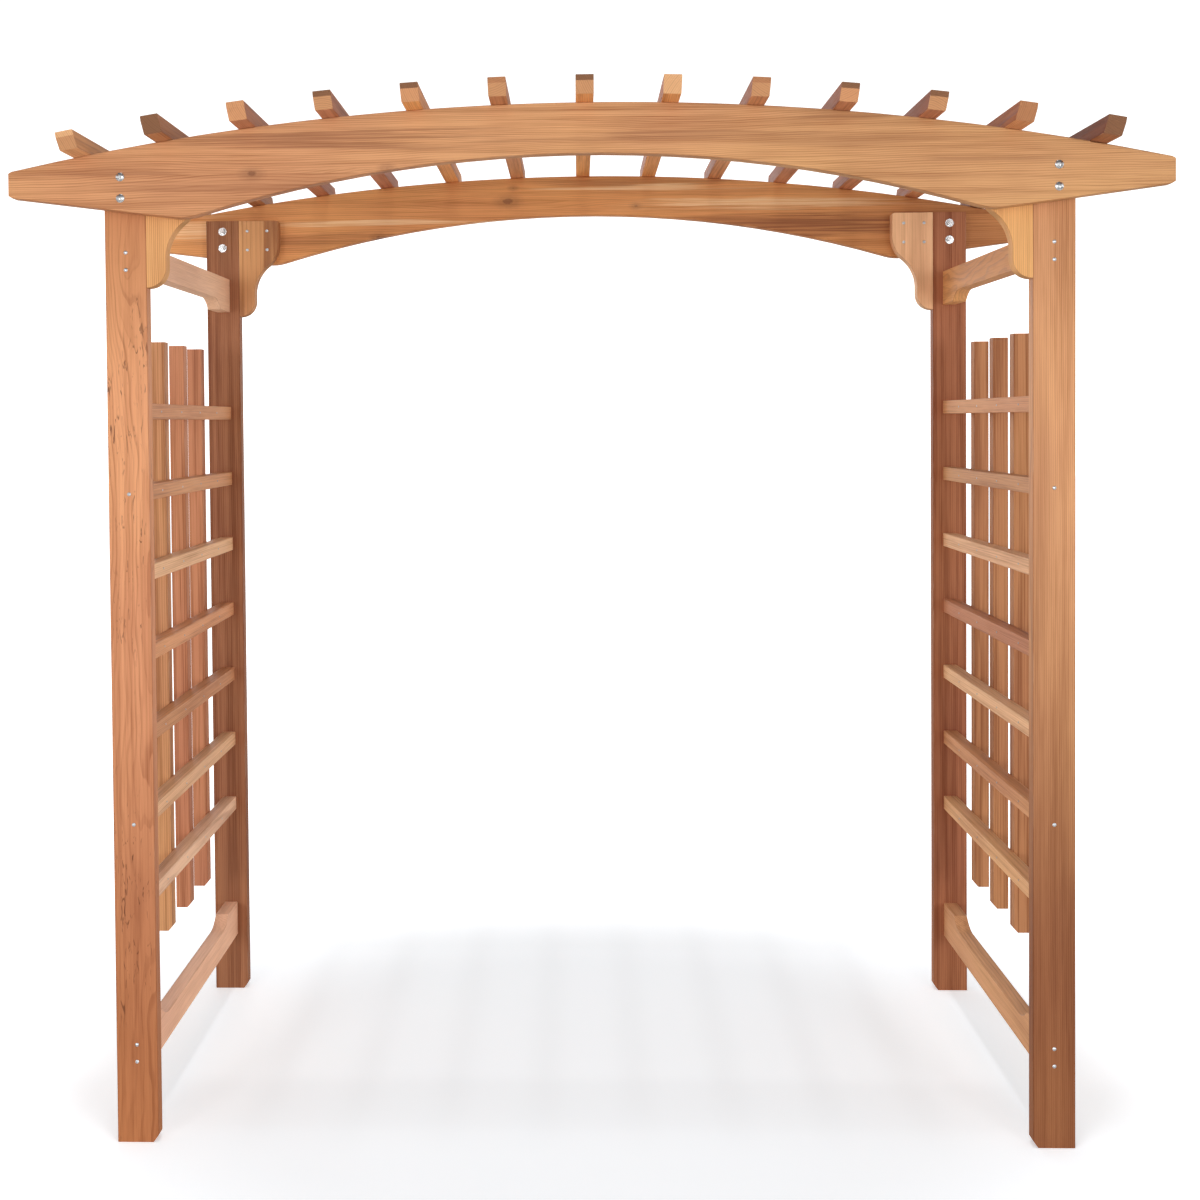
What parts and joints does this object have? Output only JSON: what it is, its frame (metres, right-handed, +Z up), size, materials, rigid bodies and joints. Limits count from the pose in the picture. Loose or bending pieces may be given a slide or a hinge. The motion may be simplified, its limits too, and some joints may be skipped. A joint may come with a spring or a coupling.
{
  "type": "arched garden arbour with trellis sides",
  "caption": "Cedar garden arbour: two arched beams bolted to posts, rafters square to the arch, S-curved corner brackets, shaped side braces and trellis panels on both sides.",
  "frame": {"origin": "on the ground, at the centre of the footprint", "axes": "+Z up, +X along the arched beams to the right seen from the front, -Y towards the front"},
  "size_m": [2.438, 1.281, 2.2557],
  "materials": {
    "beam_cedar": "planed, unfinished",
    "post_cedar": "planed, unfinished",
    "bracket_cedar": "planed, unfinished",
    "brace_cedar": "planed, unfinished",
    "rafter_cedar": "planed, unfinished",
    "trellis_cedar": "planed, unfinished",
    "zinc_plated_steel": "bright zinc plate",
    "coated_screw_steel": "grey coating"
  },
  "bodies": {
    "root": {"bolt_nuts": "zinc_plated_steel", "bolt_washers": "zinc_plated_steel", "brace_screws": "coated_screw_steel", "bracket_screws": "coated_screw_steel", "carriage_bolts": "zinc_plated_steel", "front_beam": "beam_cedar", "front_left_bracket": "bracket_cedar", "front_left_post": "post_cedar", "front_right_bracket": "bracket_cedar", "front_right_post": "post_cedar", "left_lower_brace": "brace_cedar", "left_trellis_nails": "coated_screw_steel", "left_trellis_rail_1": "trellis_cedar", "left_trellis_rail_2": "trellis_cedar", "left_trellis_rail_3": "trellis_cedar", "left_trellis_rail_4": "trellis_cedar", "left_trellis_rail_5": "trellis_cedar", "left_trellis_rail_6": "trellis_cedar", "left_trellis_rail_7": "trellis_cedar", "left_trellis_slat_1": "trellis_cedar", "left_trellis_slat_2": "trellis_cedar", "left_trellis_slat_3": "trellis_cedar", "left_trellis_slat_4": "trellis_cedar", "left_upper_brace": "brace_cedar", "rafter_01": "rafter_cedar", "rafter_02": "rafter_cedar", "rafter_03": "rafter_cedar", "rafter_04": "rafter_cedar", "rafter_05": "rafter_cedar", "rafter_06": "rafter_cedar", "rafter_07": "rafter_cedar", "rafter_08": "rafter_cedar", "rafter_09": "rafter_cedar", "rafter_10": "rafter_cedar", "rafter_11": "rafter_cedar", "rafter_12": "rafter_cedar", "rafter_13": "rafter_cedar", "rafter_screws": "coated_screw_steel", "rear_beam": "beam_cedar", "rear_left_bracket": "bracket_cedar", "rear_left_post": "post_cedar", "rear_right_bracket": "bracket_cedar", "rear_right_post": "post_cedar", "right_lower_brace": "brace_cedar", "right_trellis_nails": "coated_screw_steel", "right_trellis_rail_1": "trellis_cedar", "right_trellis_rail_2": "trellis_cedar", "right_trellis_rail_3": "trellis_cedar", "right_trellis_rail_4": "trellis_cedar", "right_trellis_rail_5": "trellis_cedar", "right_trellis_rail_6": "trellis_cedar", "right_trellis_rail_7": "trellis_cedar", "right_trellis_slat_1": "trellis_cedar", "right_trellis_slat_2": "trellis_cedar", "right_trellis_slat_3": "trellis_cedar", "right_trellis_slat_4": "trellis_cedar", "right_upper_brace": "brace_cedar", "trellis_panel_screws": "coated_screw_steel"}
  },
  "joints": []
}
